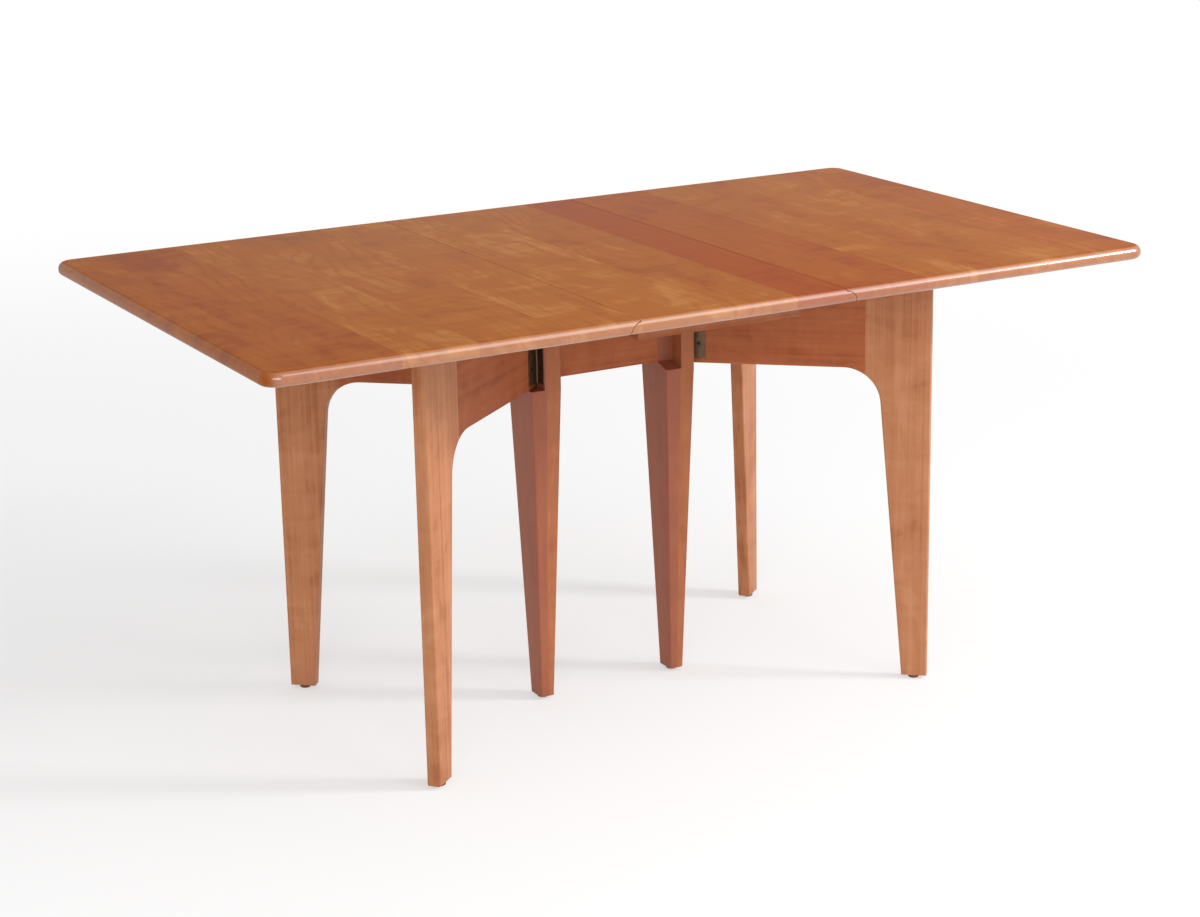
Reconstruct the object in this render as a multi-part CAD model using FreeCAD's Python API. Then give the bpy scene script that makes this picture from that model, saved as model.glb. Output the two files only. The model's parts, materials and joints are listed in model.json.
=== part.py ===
import FreeCAD, Part
import math
import os

# A drop-leaf table with a narrow centre panel, two leaves on rule joints and four
# swinging gates, standing open: both leaves up and every gate under its leaf.
# Millimetres, +Z up, origin on the floor under the middle of the top.

V = FreeCAD.Vector

# ---- table top ----
TABLE_LENGTH = 1524.0
TABLE_DEPTH = 889.0
TABLE_HEIGHT = 737.0
TOP_THICKNESS = 22.0
CENTRE_WIDTH = 358.0
CORNER_RADIUS = 28.0
EDGE_TOP_RADIUS = 11.0
EDGE_BOTTOM_RADIUS = 9.0

# ---- rule joint between the centre panel and each leaf ----
RULE_STEP = 4.0
RULE_RADIUS = 16.8
RULE_GAP = 1.0

# ---- drop-leaf hinges, let into the underside ----
LEAF_HINGE_Y = (-300.0, 0.0, 300.0)
LEAF_PLATE_WIDTH = 38.0
LEAF_PLATE_THICKNESS = 2.0
LEAF_PLATE_RECESS = 0.4
FIXED_PLATE_LENGTH = 28.0
MOVING_PLATE_LENGTH = 62.0
PLATE_CORNER = 4.0
LEAF_KNUCKLE_RADIUS = 1.9
LEAF_PIN_RADIUS = 0.9
SEAT_GAP = 0.3
LIFT_GAP = 1.0

# ---- centre frame: two posts and a rail ----
POST_X = 124.5
POST_HALF_X = 27.0
POST_HALF_Y = 42.0
FOOT_HALF_X = 12.5
FOOT_HALF_Y = 18.5
POST_ROUND = 4.0
FOOT_ROUND = 3.5
RELIEF_X = 126.0
RELIEF_SLOPE = 9.0
RAIL_THICKNESS = 25.0
RAIL_HEIGHT = 170.0
TENON_LENGTH = 18.0
TENON_THICKNESS = 9.0
TENON_SHOULDER = 20.0
MORTISE_GAP = 0.2

# ---- battens and cleats that hold the centre panel flat and down ----
BATTEN_HALF_LENGTH = 142.0
BATTEN_WIDTH = 28.0
BATTEN_HEIGHT = 29.5
BATTEN_Y = 353.0
BATTEN_SCREW_X = (-115.0, 0.0, 115.0)
CLEAT_HALF_LENGTH = 80.0
CLEAT_SIZE = 20.0
CLEAT_SCREW_X = (-55.0, 55.0)
CLEAT_SIDE_SCREW_X = (-25.0, 25.0)

# ---- gates: reach from pivot to outer edge, and how wide each stands open ----
LEFT_FRONT_REACH = 400.0
LEFT_REAR_REACH = 396.0
RIGHT_FRONT_REACH = 402.0
RIGHT_REAR_REACH = 400.0
NOTCH_PIVOT_X = 130.0
NOTCH_PIVOT_Y = 19.5
NOTCH_OPEN_DEG = 38.5
FACE_PIVOT_Y = 16.0
FACE_OPEN_DEG = 41.0
GATE_THICKNESS = 22.5
APRON_HEIGHT = 179.0
GATE_TOP_GAP = 0.9
GATE_END = 3.2
LEG_WIDTH = 108.0
GATE_ARC_RADIUS = 62.0
GATE_FOOT_WIDTH = 42.0
GATE_LEG_TAPER_DEG = 4.86
GATE_EDGE_ROUND = 3.0
LEDGE_GAP = 1.0
STOP_FROM = 330.0
STOP_LENGTH = 50.0
STOP_WIDTH = 18.0
STOP_HEIGHT = 18.0
STOP_GAP = 0.6

# ---- long hinges that carry the gates ----
HINGE_LENGTH = 165.0
GATE_PLATE_WIDTH = 30.0
POST_PLATE_WIDTH = 22.0
HINGE_PLATE_THICKNESS = 1.5
HINGE_PLATE_GAP = 0.15
HINGE_LIFT = 8.0
KNUCKLE_RADIUS = 2.6
KNUCKLE_COUNT = 11
KNUCKLE_GAP = 0.3
PIN_RADIUS = 1.2
PIN_GAP = 0.05
BARREL_GAP = 0.6
HINGE_SCREW_FROM_END = 26.0
HINGE_SCREW_COUNT = 4
GATE_SCREW_REACH = 19.0
POST_SCREW_REACH = 12.0

# ---- screws and glides ----
SCREW_RADIUS = 1.75
SCREW_HEAD_RADIUS = 3.2
SCREW_HEAD_DEPTH = 1.4
HINGE_SCREW_LENGTH = 18.0
LEAF_SCREW_LENGTH = 14.0
BIG_SCREW_RADIUS = 2.2
BIG_HEAD_RADIUS = 4.4
BIG_HEAD_DEPTH = 2.6
BITE = 12.0
SIDE_BITE = 10.0
SCREW_GAP = 0.05
GLIDE_RADIUS = 9.0
GLIDE_HEIGHT = 5.0
GLIDE_CHAMFER = 1.0
GLIDE_STEM_RADIUS = 3.0
GLIDE_STEM_LENGTH = 15.0
GLIDE_FROM_EDGE = 22.0

# ---- sizes that follow ----
UNDERSIDE = TABLE_HEIGHT - TOP_THICKNESS
SEAM_X = CENTRE_WIDTH / 2
RULE_AXIS_Z = TABLE_HEIGHT - RULE_STEP - RULE_RADIUS
RAIL_BOTTOM = UNDERSIDE - RAIL_HEIGHT
GATE_BOTTOM = UNDERSIDE - APRON_HEIGHT
LEDGE_Z = GATE_BOTTOM - LEDGE_GAP
HINGE_FACE = HINGE_PLATE_THICKNESS + HINGE_PLATE_GAP
NOTCH_FACE_X = NOTCH_PIVOT_X - HINGE_FACE
FACE_PIVOT_X = POST_X + POST_HALF_X + HINGE_FACE
GATE_TOP = UNDERSIDE - GATE_TOP_GAP
GATE_BACK = HINGE_FACE + GATE_THICKNESS
HINGE_BOTTOM = GATE_BOTTOM + HINGE_LIFT
BEYOND = 5.0
SIDES = {"left": -1, "right": 1}
ENDS = {"front": -1, "rear": 1}

# ---- each gate's pivot, opening and reach: one per post in a notch, one on the outer face ----
NOTCH = (NOTCH_PIVOT_X, NOTCH_PIVOT_Y, NOTCH_OPEN_DEG)
FACE = (FACE_PIVOT_X, FACE_PIVOT_Y, FACE_OPEN_DEG)
GATES = {
    ("left", "front"): (NOTCH, LEFT_FRONT_REACH),
    ("left", "rear"): (FACE, LEFT_REAR_REACH),
    ("right", "front"): (FACE, RIGHT_FRONT_REACH),
    ("right", "rear"): (NOTCH, RIGHT_REAR_REACH),
}


def box(x0, x1, y0, y1, z0, z1):
    """A block between two corners, given as pairs in any order."""
    low = V(min(x0, x1), min(y0, y1), min(z0, z1))
    return Part.makeBox(abs(x1 - x0), abs(y1 - y0), abs(z1 - z0), low)


def rounded_rectangle(cx, cy, z, half_x, half_y, radius):
    """A closed wire of four lines and four quarter arcs in a level plane."""
    edges = []
    corners = ((1, 1, 0), (-1, 1, 90), (-1, -1, 180), (1, -1, 270))
    ends = []
    for sx, sy, start in corners:
        centre = V(cx + sx * (half_x - radius), cy + sy * (half_y - radius), z)
        circle = Part.Circle(centre, V(0, 0, 1), radius)
        arc = Part.Arc(circle, math.radians(start), math.radians(start + 90)).toShape()
        edges.append(arc)
        ends.append((arc.valueAt(arc.FirstParameter), arc.valueAt(arc.LastParameter)))
    for i in range(4):
        edges.append(Part.makeLine(ends[i][1], ends[(i + 1) % 4][0]))
    return Part.Wire(Part.__sortEdges__(edges))


def prism_y(edges, y0, y1):
    """Edges drawn at y0 in an upright plane, closed and drawn out to y1."""
    face = Part.Face(Part.Wire(Part.__sortEdges__(edges)))
    return face.extrude(V(0, y1 - y0, 0))


def lines(points, y):
    """Straight edges through a list of (x, z) points at one y."""
    places = [V(x, y, z) for x, z in points]
    return [Part.makeLine(a, b) for a, b in zip(places, places[1:])]


def quarter(cx, cz, radius, y, from_deg, to_deg):
    """An arc about (cx, cz) in an upright plane, angles from +X towards +Z."""
    def at(deg):
        turn = math.radians(deg)
        return V(cx + radius * math.cos(turn), y, cz + radius * math.sin(turn))
    middle = at((from_deg + to_deg) / 2)
    return Part.Arc(at(from_deg), middle, at(to_deg)).toShape()


def screw(head, direction, length, radius, head_radius, head_depth):
    """A countersunk screw whose flat head starts at a point and whose shank runs along a direction."""
    cone = Part.makeCone(head_radius, radius, head_depth, head, direction)
    start = head + direction * head_depth
    shank = Part.makeCylinder(radius, length - head_depth, start, direction)
    return cone.fuse(shank).removeSplitter()


def screw_hole(head, direction, length, radius, head_radius, head_depth):
    """The space of a screw, a little larger all round."""
    longer = length + SCREW_GAP
    return screw(head, direction, longer, radius + SCREW_GAP, head_radius + SCREW_GAP, head_depth)


def small_screw(head, direction, length):
    return screw(head, direction, length, SCREW_RADIUS, SCREW_HEAD_RADIUS, SCREW_HEAD_DEPTH)


def small_hole(head, direction, length):
    return screw_hole(head, direction, length, SCREW_RADIUS, SCREW_HEAD_RADIUS, SCREW_HEAD_DEPTH)


def big_screw(head, direction, length):
    return screw(head, direction, length, BIG_SCREW_RADIUS, BIG_HEAD_RADIUS, BIG_HEAD_DEPTH)


def big_hole(head, direction, length):
    return screw_hole(head, direction, length, BIG_SCREW_RADIUS, BIG_HEAD_RADIUS, BIG_HEAD_DEPTH)


def cut_all(shape, tools):
    """A shape less a list of tools."""
    return shape.cut(Part.makeCompound(tools)) if tools else shape


def mirrored(shape, sx, sy):
    """A right-front shape carried to another side or end."""
    if sx < 0:
        shape = shape.mirror(V(0, 0, 0), V(1, 0, 0))
    if sy > 0:
        shape = shape.mirror(V(0, 0, 0), V(0, 1, 0))
    return shape


def gate_place(shape, mounting):
    """A shape drawn along +X from a gate's pivot, turned to where a right-front gate would stand open."""
    pivot_x, pivot_y, open_deg = mounting
    placed = shape.copy()
    placed.rotate(V(0, 0, 0), V(0, 0, 1), -open_deg)
    placed.translate(V(pivot_x, -pivot_y, 0))
    return placed


# ---- table top ----
def whole_top():
    """The top as one board with round corners and eased edges."""
    half_x = TABLE_LENGTH / 2
    half_y = TABLE_DEPTH / 2
    outline = rounded_rectangle(0, 0, UNDERSIDE, half_x, half_y, CORNER_RADIUS)
    board = Part.Face(outline).extrude(V(0, 0, TOP_THICKNESS))
    rim = [e for e in board.Edges if abs(e.BoundBox.ZMin - TABLE_HEIGHT) < 1e-6]
    board = board.makeFillet(EDGE_TOP_RADIUS, rim)
    rim = [e for e in board.Edges if abs(e.BoundBox.ZMax - UNDERSIDE) < 1e-6]
    return board.makeFillet(EDGE_BOTTOM_RADIUS, rim)


def centre_region():
    """The space of the centre panel, with a convex quarter round down each long edge."""
    y = -TABLE_DEPTH / 2 - BEYOND
    step_z = TABLE_HEIGHT - RULE_STEP
    high = TABLE_HEIGHT + BEYOND
    low = UNDERSIDE - BEYOND
    reach = SEAM_X + RULE_RADIUS
    edges = lines([(-SEAM_X, step_z), (-SEAM_X, high), (SEAM_X, high), (SEAM_X, step_z)], y)
    edges.append(quarter(SEAM_X, RULE_AXIS_Z, RULE_RADIUS, y, 90, 0))
    edges += lines([(reach, RULE_AXIS_Z), (reach, low), (-reach, low), (-reach, RULE_AXIS_Z)], y)
    edges.append(quarter(-SEAM_X, RULE_AXIS_Z, RULE_RADIUS, y, 180, 90))
    return prism_y(edges, y, -y)


def leaf_region():
    """The space of the right leaf, hollowed to ride over the centre panel's quarter round."""
    y = -TABLE_DEPTH / 2 - BEYOND
    hollow = RULE_RADIUS + RULE_GAP
    lip_z = RULE_AXIS_Z + math.sqrt(hollow ** 2 - RULE_GAP ** 2)
    lip_deg = math.degrees(math.acos(RULE_GAP / hollow))
    high = TABLE_HEIGHT + BEYOND
    low = UNDERSIDE - BEYOND
    far = TABLE_LENGTH / 2 + BEYOND
    near = SEAM_X + RULE_GAP
    foot = SEAM_X + hollow
    edges = [quarter(SEAM_X, RULE_AXIS_Z, hollow, y, lip_deg, 0)]
    edges += lines([(foot, RULE_AXIS_Z), (foot, low), (far, low), (far, high), (near, high), (near, lip_z)], y)
    return prism_y(edges, y, -y)


def leaf_plate_screws(y):
    """Screw places in one right-hand hinge: (x, y) in the fixed plate, then in the moving plate."""
    third = LEAF_PLATE_WIDTH / 4
    fixed_x = SEAM_X - FIXED_PLATE_LENGTH / 2 - LEAF_KNUCKLE_RADIUS / 2
    fixed = [(fixed_x, y - third), (fixed_x, y + third)]
    first_x = SEAM_X + RULE_RADIUS + SCREW_HEAD_RADIUS * 2
    last_x = SEAM_X + MOVING_PLATE_LENGTH - SCREW_HEAD_RADIUS * 2
    moving = [(first_x, y - third), (first_x, y + third), (last_x, y)]
    return fixed, moving


def leaf_plate(x0, x1, y, knuckles):
    """One plate of a drop-leaf hinge with its knuckles, (from, to) pairs along Y."""
    z0 = UNDERSIDE + LEAF_PLATE_RECESS
    z1 = z0 + LEAF_PLATE_THICKNESS
    half = LEAF_PLATE_WIDTH / 2
    inner = SEAM_X + math.copysign(LEAF_KNUCKLE_RADIUS + KNUCKLE_GAP, x1 - SEAM_X)
    plate = box(inner, x1, y - half, y + half, z0, z1)
    outer_edges = [
        e for e in plate.Edges
        if abs(e.BoundBox.XMin - x1) < 1e-6 and abs(e.BoundBox.XMax - x1) < 1e-6 and e.BoundBox.ZLength > 1
    ]
    plate = plate.makeFillet(PLATE_CORNER, outer_edges)
    for y0, y1 in knuckles:
        along = V(0, 1, 0)
        barrel = Part.makeCylinder(LEAF_KNUCKLE_RADIUS, y1 - y0, V(x0, y0, RULE_AXIS_Z), along)
        plate = plate.fuse([barrel, box(x0, inner, y0, y1, z0, z1)])
    bore_from = V(x0, y - half - BEYOND, RULE_AXIS_Z)
    bore = Part.makeCylinder(LEAF_PIN_RADIUS + PIN_GAP, LEAF_PLATE_WIDTH + 2 * BEYOND, bore_from, V(0, 1, 0))
    return plate.cut(bore).removeSplitter()


def leaf_hinge(y):
    """Fixed plate, moving plate and pin of one right-hand drop-leaf hinge."""
    half = LEAF_PLATE_WIDTH / 2
    third = LEAF_PLATE_WIDTH / 3
    cuts = (-half, -half + third, half - third, half)
    spans = [(y + a + KNUCKLE_GAP / 2, y + b - KNUCKLE_GAP / 2) for a, b in zip(cuts, cuts[1:])]
    fixed = leaf_plate(SEAM_X, SEAM_X - FIXED_PLATE_LENGTH, y, [spans[0], spans[2]])
    moving = leaf_plate(SEAM_X, SEAM_X + MOVING_PLATE_LENGTH, y, [spans[1]])
    head_z = UNDERSIDE + LEAF_PLATE_RECESS
    fixed_at, moving_at = leaf_plate_screws(y)
    fixed = cut_all(fixed, [small_hole(V(a, b, head_z), V(0, 0, 1), LEAF_SCREW_LENGTH) for a, b in fixed_at])
    moving = cut_all(moving, [small_hole(V(a, b, head_z), V(0, 0, 1), LEAF_SCREW_LENGTH) for a, b in moving_at])
    pin = Part.makeCylinder(LEAF_PIN_RADIUS, LEAF_PLATE_WIDTH, V(SEAM_X, y - half, RULE_AXIS_Z), V(0, 1, 0))
    return fixed, moving, pin


def leaf_hinge_seats(y):
    """What one right-hand hinge takes out of the centre panel, and out of the leaf."""
    half = LEAF_PLATE_WIDTH / 2 + SEAT_GAP
    low = UNDERSIDE - BEYOND
    plate_top = UNDERSIDE + LEAF_PLATE_RECESS + LEAF_PLATE_THICKNESS
    inner = SEAM_X - FIXED_PLATE_LENGTH - SEAT_GAP
    male = SEAM_X + RULE_RADIUS + BEYOND
    outer = SEAM_X + MOVING_PLATE_LENGTH + SEAT_GAP
    around = LEAF_KNUCKLE_RADIUS + BARREL_GAP
    axis_point = V(SEAM_X, y - half, RULE_AXIS_Z)
    barrel = Part.makeCylinder(around, 2 * half, axis_point, V(0, 1, 0))
    centre = [
        box(inner, SEAM_X, y - half, y + half, low, plate_top),
        box(SEAM_X, male, y - half, y + half, low, plate_top + LIFT_GAP),
        box(SEAM_X - around, SEAM_X + around, y - half, y + half, low, RULE_AXIS_Z),
        barrel,
    ]
    leaf = [box(SEAM_X + RULE_RADIUS, outer, y - half, y + half, low, plate_top)]
    head_z = UNDERSIDE + LEAF_PLATE_RECESS
    fixed_at, moving_at = leaf_plate_screws(y)
    centre += [small_hole(V(a, b, head_z), V(0, 0, 1), LEAF_SCREW_LENGTH) for a, b in fixed_at]
    leaf += [small_hole(V(a, b, head_z), V(0, 0, 1), LEAF_SCREW_LENGTH) for a, b in moving_at]
    return centre, leaf


def stop_block(mounting):
    """The block under a right-front leaf that halts the opening gate, and its screws."""
    y0 = GATE_BACK + STOP_GAP
    low = UNDERSIDE - STOP_HEIGHT
    block = box(STOP_FROM, STOP_FROM + STOP_LENGTH, y0, y0 + STOP_WIDTH, low, UNDERSIDE)
    length = STOP_HEIGHT + BITE
    heads = [V(STOP_FROM + share * STOP_LENGTH, y0 + STOP_WIDTH / 2, low) for share in (0.25, 0.75)]
    screws = [gate_place(big_screw(p, V(0, 0, 1), length), mounting) for p in heads]
    holes = [gate_place(big_hole(p, V(0, 0, 1), length), mounting) for p in heads]
    return cut_all(gate_place(block, mounting), holes), screws, holes


def make_top(parts):
    board = whole_top()
    centre = board.common(centre_region())
    right = board.common(leaf_region())
    fixed, moving, pins, fixed_screws, moving_screws = [], [], [], [], []
    centre_cuts, leaf_cuts = [], []
    head_z = UNDERSIDE + LEAF_PLATE_RECESS
    for y in LEAF_HINGE_Y:
        a, b, c = leaf_hinge(y)
        fixed.append(a)
        moving.append(b)
        pins.append(c)
        in_centre, in_leaf = leaf_hinge_seats(y)
        centre_cuts += in_centre
        leaf_cuts += in_leaf
        fixed_at, moving_at = leaf_plate_screws(y)
        fixed_screws += [small_screw(V(p, q, head_z), V(0, 0, 1), LEAF_SCREW_LENGTH) for p, q in fixed_at]
        moving_screws += [small_screw(V(p, q, head_z), V(0, 0, 1), LEAF_SCREW_LENGTH) for p, q in moving_at]
    for end, sy in ENDS.items():
        leaf_cuts += [mirrored(h, 1, sy) for h in stop_block(GATES[("right", end)][0])[2]]
    right = cut_all(right, leaf_cuts)
    centre_cuts += [mirrored(c, -1, -1) for c in centre_cuts]
    centre_cuts += top_screw_holes()
    parts["centre_panel"] = cut_all(centre, centre_cuts)
    hinge_screws = []
    for side, sx in SIDES.items():
        parts[side + "_leaf"] = mirrored(right, sx, -sx)
        parts[side + "_leaf_hinge_fixed_plates"] = Part.makeCompound([mirrored(s, sx, -1) for s in fixed])
        parts[side + "_leaf_hinge_moving_plates"] = Part.makeCompound([mirrored(s, sx, -1) for s in moving])
        parts[side + "_leaf_hinge_pins"] = Part.makeCompound([mirrored(s, sx, -1) for s in pins])
        hinge_screws += [mirrored(s, sx, -1) for s in fixed_screws]
        in_leaf = [mirrored(s, sx, -1) for s in moving_screws]
        for end, sy in ENDS.items():
            stop, stop_screws, _ = stop_block(GATES[(side, end)][0])
            parts[side + "_" + end + "_gate_stop"] = mirrored(stop, sx, sy)
            in_leaf += [mirrored(s, sx, sy) for s in stop_screws]
        parts[side + "_leaf_screws"] = Part.makeCompound(in_leaf)
    parts["centre_panel_hinge_screws"] = Part.makeCompound(hinge_screws)


# ---- centre frame ----
def top_screw_places():
    """Head, direction and length of every screw that fastens battens, cleats and rail."""
    up = V(0, 0, 1)
    places = []
    for sy in (-1, 1):
        for x in BATTEN_SCREW_X:
            places.append((V(x, sy * BATTEN_Y, UNDERSIDE - BATTEN_HEIGHT), up, BATTEN_HEIGHT + BITE))
        middle = sy * (RAIL_THICKNESS + CLEAT_SIZE) / 2
        outer = sy * (RAIL_THICKNESS / 2 + CLEAT_SIZE)
        for x in CLEAT_SCREW_X:
            places.append((V(x, middle, UNDERSIDE - CLEAT_SIZE), up, CLEAT_SIZE + BITE))
        for x in CLEAT_SIDE_SCREW_X:
            head = V(x, outer, UNDERSIDE - CLEAT_SIZE / 2)
            places.append((head, V(0, -sy, 0), CLEAT_SIZE + SIDE_BITE))
    return places


def top_screw_holes():
    return [big_hole(*place) for place in top_screw_places()]


def make_battens_and_cleats(parts):
    holes = top_screw_holes()
    for end, sy in ENDS.items():
        y0 = sy * (BATTEN_Y - BATTEN_WIDTH / 2)
        y1 = sy * (BATTEN_Y + BATTEN_WIDTH / 2)
        low = UNDERSIDE - BATTEN_HEIGHT
        batten = box(-BATTEN_HALF_LENGTH, BATTEN_HALF_LENGTH, y0, y1, low, UNDERSIDE)
        parts[end + "_batten"] = cut_all(batten, holes)
        y0 = sy * RAIL_THICKNESS / 2
        y1 = sy * (RAIL_THICKNESS / 2 + CLEAT_SIZE)
        cleat = box(-CLEAT_HALF_LENGTH, CLEAT_HALF_LENGTH, y0, y1, UNDERSIDE - CLEAT_SIZE, UNDERSIDE)
        parts[end + "_rail_cleat"] = cut_all(cleat, holes)
    parts["top_fixing_screws"] = Part.makeCompound([big_screw(*place) for place in top_screw_places()])


def make_rail(parts):
    end = POST_X - POST_HALF_X
    half = RAIL_THICKNESS / 2
    rail = box(-end, end, -half, half, RAIL_BOTTOM, UNDERSIDE)
    reach = end + TENON_LENGTH
    tenon_half = TENON_THICKNESS / 2
    low = RAIL_BOTTOM + TENON_SHOULDER
    high = UNDERSIDE - TENON_SHOULDER
    rail = rail.fuse(box(-reach, reach, -tenon_half, tenon_half, low, high)).removeSplitter()
    parts["centre_rail"] = cut_all(rail, top_screw_holes())


def mortise():
    """What the rail's tenon takes out of the right post."""
    end = POST_X - POST_HALF_X
    half = TENON_THICKNESS / 2
    low = RAIL_BOTTOM + TENON_SHOULDER
    high = UNDERSIDE - TENON_SHOULDER
    return box(end - BEYOND, end + TENON_LENGTH + MORTISE_GAP, -half, half, low, high)


def glide(x, y):
    """A round foot glide with the stem that is driven into the leg."""
    disc = Part.makeCylinder(GLIDE_RADIUS, GLIDE_HEIGHT, V(x, y, 0))
    rim = [e for e in disc.Edges if e.BoundBox.ZMax < 1e-6]
    disc = disc.makeChamfer(GLIDE_CHAMFER, rim)
    stem = Part.makeCylinder(GLIDE_STEM_RADIUS, GLIDE_STEM_LENGTH, V(x, y, GLIDE_HEIGHT))
    return disc.fuse(stem).removeSplitter()


def glide_hole(x, y):
    """The space of a glide's stem."""
    return Part.makeCylinder(GLIDE_STEM_RADIUS, GLIDE_STEM_LENGTH + SCREW_GAP, V(x, y, GLIDE_HEIGHT))


def post_screw_places(mounting):
    """Screw heads in a right-front post hinge plate."""
    x = mounting[0] - HINGE_PLATE_GAP
    y = -mounting[1] - POST_SCREW_REACH
    return [V(x, y, z) for z in hinge_screw_heights()]


def post_hardware(make):
    """Screws or screw holes of both hinges on the right post: outer face in front, notch behind."""
    into = V(-1, 0, 0)
    front = [make(p, into, HINGE_SCREW_LENGTH) for p in post_screw_places(FACE)]
    rear = [mirrored(make(p, into, HINGE_SCREW_LENGTH), 1, 1) for p in post_screw_places(NOTCH)]
    return front + rear


def hinge_screw_heights():
    run = HINGE_LENGTH - 2 * HINGE_SCREW_FROM_END
    first = HINGE_BOTTOM + HINGE_SCREW_FROM_END
    return [first + run * i / (HINGE_SCREW_COUNT - 1) for i in range(HINGE_SCREW_COUNT)]


def post_relief():
    """What is cut from the right post's inner front corner: its floor falls from the rail's face."""
    x0 = POST_X - POST_HALF_X - BEYOND
    rail_y = -RAIL_THICKNESS / 2
    front_y = -POST_HALF_Y
    high = UNDERSIDE + BEYOND
    low = RAIL_BOTTOM - RELIEF_SLOPE
    outline = [(rail_y, RAIL_BOTTOM), (front_y, low), (front_y - BEYOND, low)]
    outline += [(front_y - BEYOND, high), (rail_y, high), (rail_y, RAIL_BOTTOM)]
    wire = Part.makePolygon([V(x0, y, z) for y, z in outline])
    return Part.Face(wire).extrude(V(RELIEF_X - x0, 0, 0))


def make_posts(parts):
    foot = rounded_rectangle(POST_X, 0, GLIDE_HEIGHT, FOOT_HALF_X, FOOT_HALF_Y, FOOT_ROUND)
    shoulder = rounded_rectangle(POST_X, 0, LEDGE_Z, POST_HALF_X, POST_HALF_Y, POST_ROUND)
    leg = Part.makeLoft([foot, shoulder], True)
    head = Part.Face(shoulder).extrude(V(0, 0, UNDERSIDE - LEDGE_Z))
    outside = POST_X + POST_HALF_X + BEYOND
    behind = POST_HALF_Y + BEYOND
    tools = [post_relief(), box(NOTCH_FACE_X, outside, 0, behind, LEDGE_Z, UNDERSIDE + BEYOND)]
    around = KNUCKLE_RADIUS + BARREL_GAP
    for x, y in ((NOTCH_PIVOT_X, NOTCH_PIVOT_Y), (FACE_PIVOT_X, -FACE_PIVOT_Y)):
        tools.append(Part.makeCylinder(around, UNDERSIDE - LEDGE_Z + BEYOND, V(x, y, LEDGE_Z)))
    head = cut_all(head, tools)
    post = leg.fuse(head).removeSplitter()
    post = cut_all(post, post_hardware(small_hole) + [mortise(), glide_hole(POST_X, 0)])
    screws = post_hardware(small_screw)
    for side, sx in SIDES.items():
        parts[side + "_post"] = mirrored(post, sx, -sx)
        parts[side + "_post_hinge_screws"] = Part.makeCompound([mirrored(s, sx, -sx) for s in screws])
        parts[side + "_post_glide"] = mirrored(glide(POST_X, 0), sx, -sx)


# ---- gates, drawn along +X from the pivot with the hinge face towards -Y ----
def gate_hinge_plate(first, width):
    """One plate of the long hinge, with every second knuckle from the given one."""
    z0 = HINGE_BOTTOM
    pitch = HINGE_LENGTH / KNUCKLE_COUNT
    clear = KNUCKLE_RADIUS + KNUCKLE_GAP
    plate = box(clear, width, HINGE_PLATE_GAP, HINGE_FACE, z0, z0 + HINGE_LENGTH)
    pieces = []
    for i in range(first, KNUCKLE_COUNT, 2):
        low = z0 + i * pitch + KNUCKLE_GAP / 2
        high = z0 + (i + 1) * pitch - KNUCKLE_GAP / 2
        pieces.append(Part.makeCylinder(KNUCKLE_RADIUS, high - low, V(0, 0, low)))
        pieces.append(box(0, clear, HINGE_PLATE_GAP, HINGE_FACE, low, high))
    plate = plate.fuse(pieces)
    bore = Part.makeCylinder(PIN_RADIUS + PIN_GAP, HINGE_LENGTH + 2 * BEYOND, V(0, 0, z0 - BEYOND))
    return plate.cut(bore).removeSplitter()


def gate_screw_places():
    return [V(GATE_SCREW_REACH, HINGE_PLATE_GAP, z) for z in hinge_screw_heights()]


def gate_curve(reach):
    """Centre of the arc under a gate, and the angle at which it crosses the apron's joint."""
    taper = math.radians(GATE_LEG_TAPER_DEG)
    centre_z = GATE_BOTTOM - GATE_ARC_RADIUS
    foot_x = reach - GATE_FOOT_WIDTH
    line_x = foot_x - (centre_z - GLIDE_HEIGHT) * math.tan(taper)
    centre_x = line_x - GATE_ARC_RADIUS / math.cos(taper)
    joint_deg = math.degrees(math.acos((reach - LEG_WIDTH - centre_x) / GATE_ARC_RADIUS))
    return centre_x, centre_z, joint_deg


def on_curve(reach, deg):
    centre_x, centre_z, _ = gate_curve(reach)
    turn = math.radians(deg)
    return centre_x + GATE_ARC_RADIUS * math.cos(turn), centre_z + GATE_ARC_RADIUS * math.sin(turn)


def rounded_edges(shape, keep):
    """A board with its long edges eased, where keep says which edges those are."""
    return shape.makeFillet(GATE_EDGE_ROUND, [e for e in shape.Edges if keep(e)])


def on_broad_face(edge):
    """True for an edge that lies in either broad face of a gate."""
    box_of = edge.BoundBox
    flat = box_of.YLength < 1e-6
    return flat and (abs(box_of.YMin - HINGE_FACE) < 1e-6 or abs(box_of.YMin - GATE_BACK) < 1e-6)


def gate_apron(reach):
    """The board between the hinge and the leg, with the first part of the arc and a tenon."""
    centre_x, centre_z, joint_deg = gate_curve(reach)
    joint = reach - LEG_WIDTH
    y = HINGE_FACE
    edges = lines([(centre_x, GATE_BOTTOM), (GATE_END, GATE_BOTTOM), (GATE_END, GATE_TOP)], y)
    edges += lines([(GATE_END, GATE_TOP), (joint, GATE_TOP), on_curve(reach, joint_deg)], y)
    edges.append(quarter(centre_x, centre_z, GATE_ARC_RADIUS, y, joint_deg, 90))
    board = prism_y(edges, y, GATE_BACK)

    def eased(edge):
        span = edge.BoundBox
        return on_broad_face(edge) and span.ZMax < GATE_TOP - 1 and span.XMin < joint - 1

    board = rounded_edges(board, eased)
    return board.fuse(gate_tenon(joint, 0)).removeSplitter()


def gate_tenon(joint, spare):
    """The apron's tenon, or with spare the mortise for it."""
    middle = HINGE_FACE + GATE_THICKNESS / 2
    half = TENON_THICKNESS / 2
    low = GATE_BOTTOM + TENON_SHOULDER
    high = GATE_TOP - TENON_SHOULDER
    start = joint - BEYOND if spare else joint
    return box(start, joint + 2 * TENON_LENGTH + spare, middle - half, middle + half, low, high)


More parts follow.
